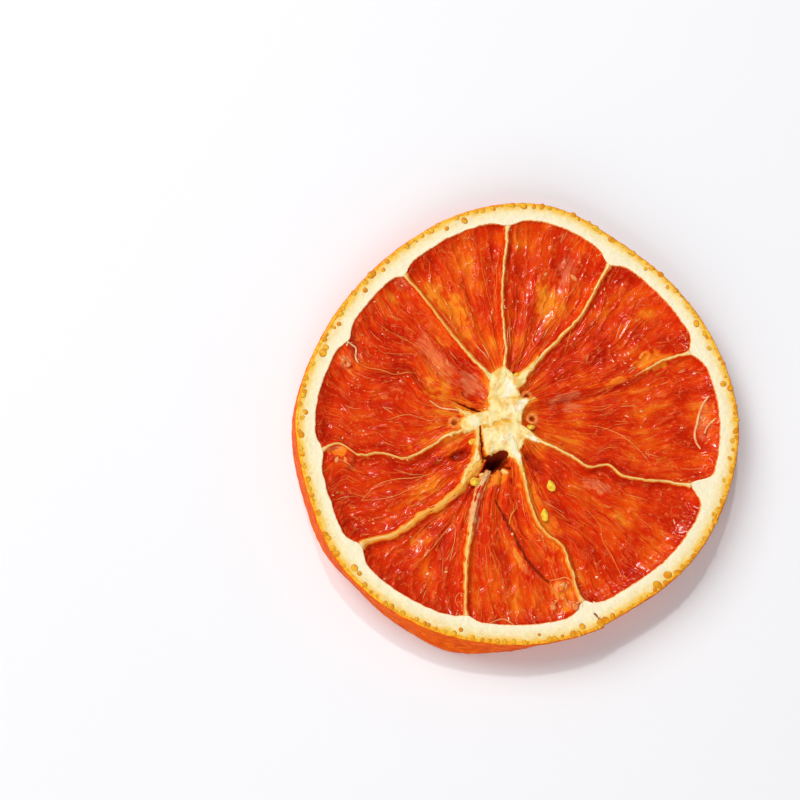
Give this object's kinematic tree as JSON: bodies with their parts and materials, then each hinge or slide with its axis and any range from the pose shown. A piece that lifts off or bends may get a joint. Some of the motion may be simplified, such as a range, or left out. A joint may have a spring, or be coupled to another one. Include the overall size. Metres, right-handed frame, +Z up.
{
  "type": "dried blood orange slice",
  "caption": "Round slice of dried blood orange lying flat: ring of peel and pith, sunk red cells of pulp between thin walls, pale star core with a small hole.",
  "frame": {"origin": "on the floor, below the middle of the slice's outline", "axes": "+Z up out of the cut face that shows, +Y towards the cell wall that runs straight up from the core, +X to its right"},
  "size_m": [0.0604, 0.0624, 0.005],
  "materials": {
    "pulp": "dried translucent orange-red pulp, glossy, with pale fibres",
    "pith": "matte cream pith, yellower towards the peel",
    "peel": "leathery orange peel, satin, pitted with oil glands",
    "oil_gland": "glassy yellow-orange oil glands",
    "wall": "thin dried cell walls, satin cream to orange",
    "seed": "satin yellow seed rudiments"
  },
  "bodies": {
    "root": {"slice": "pulp"}
  },
  "joints": []
}
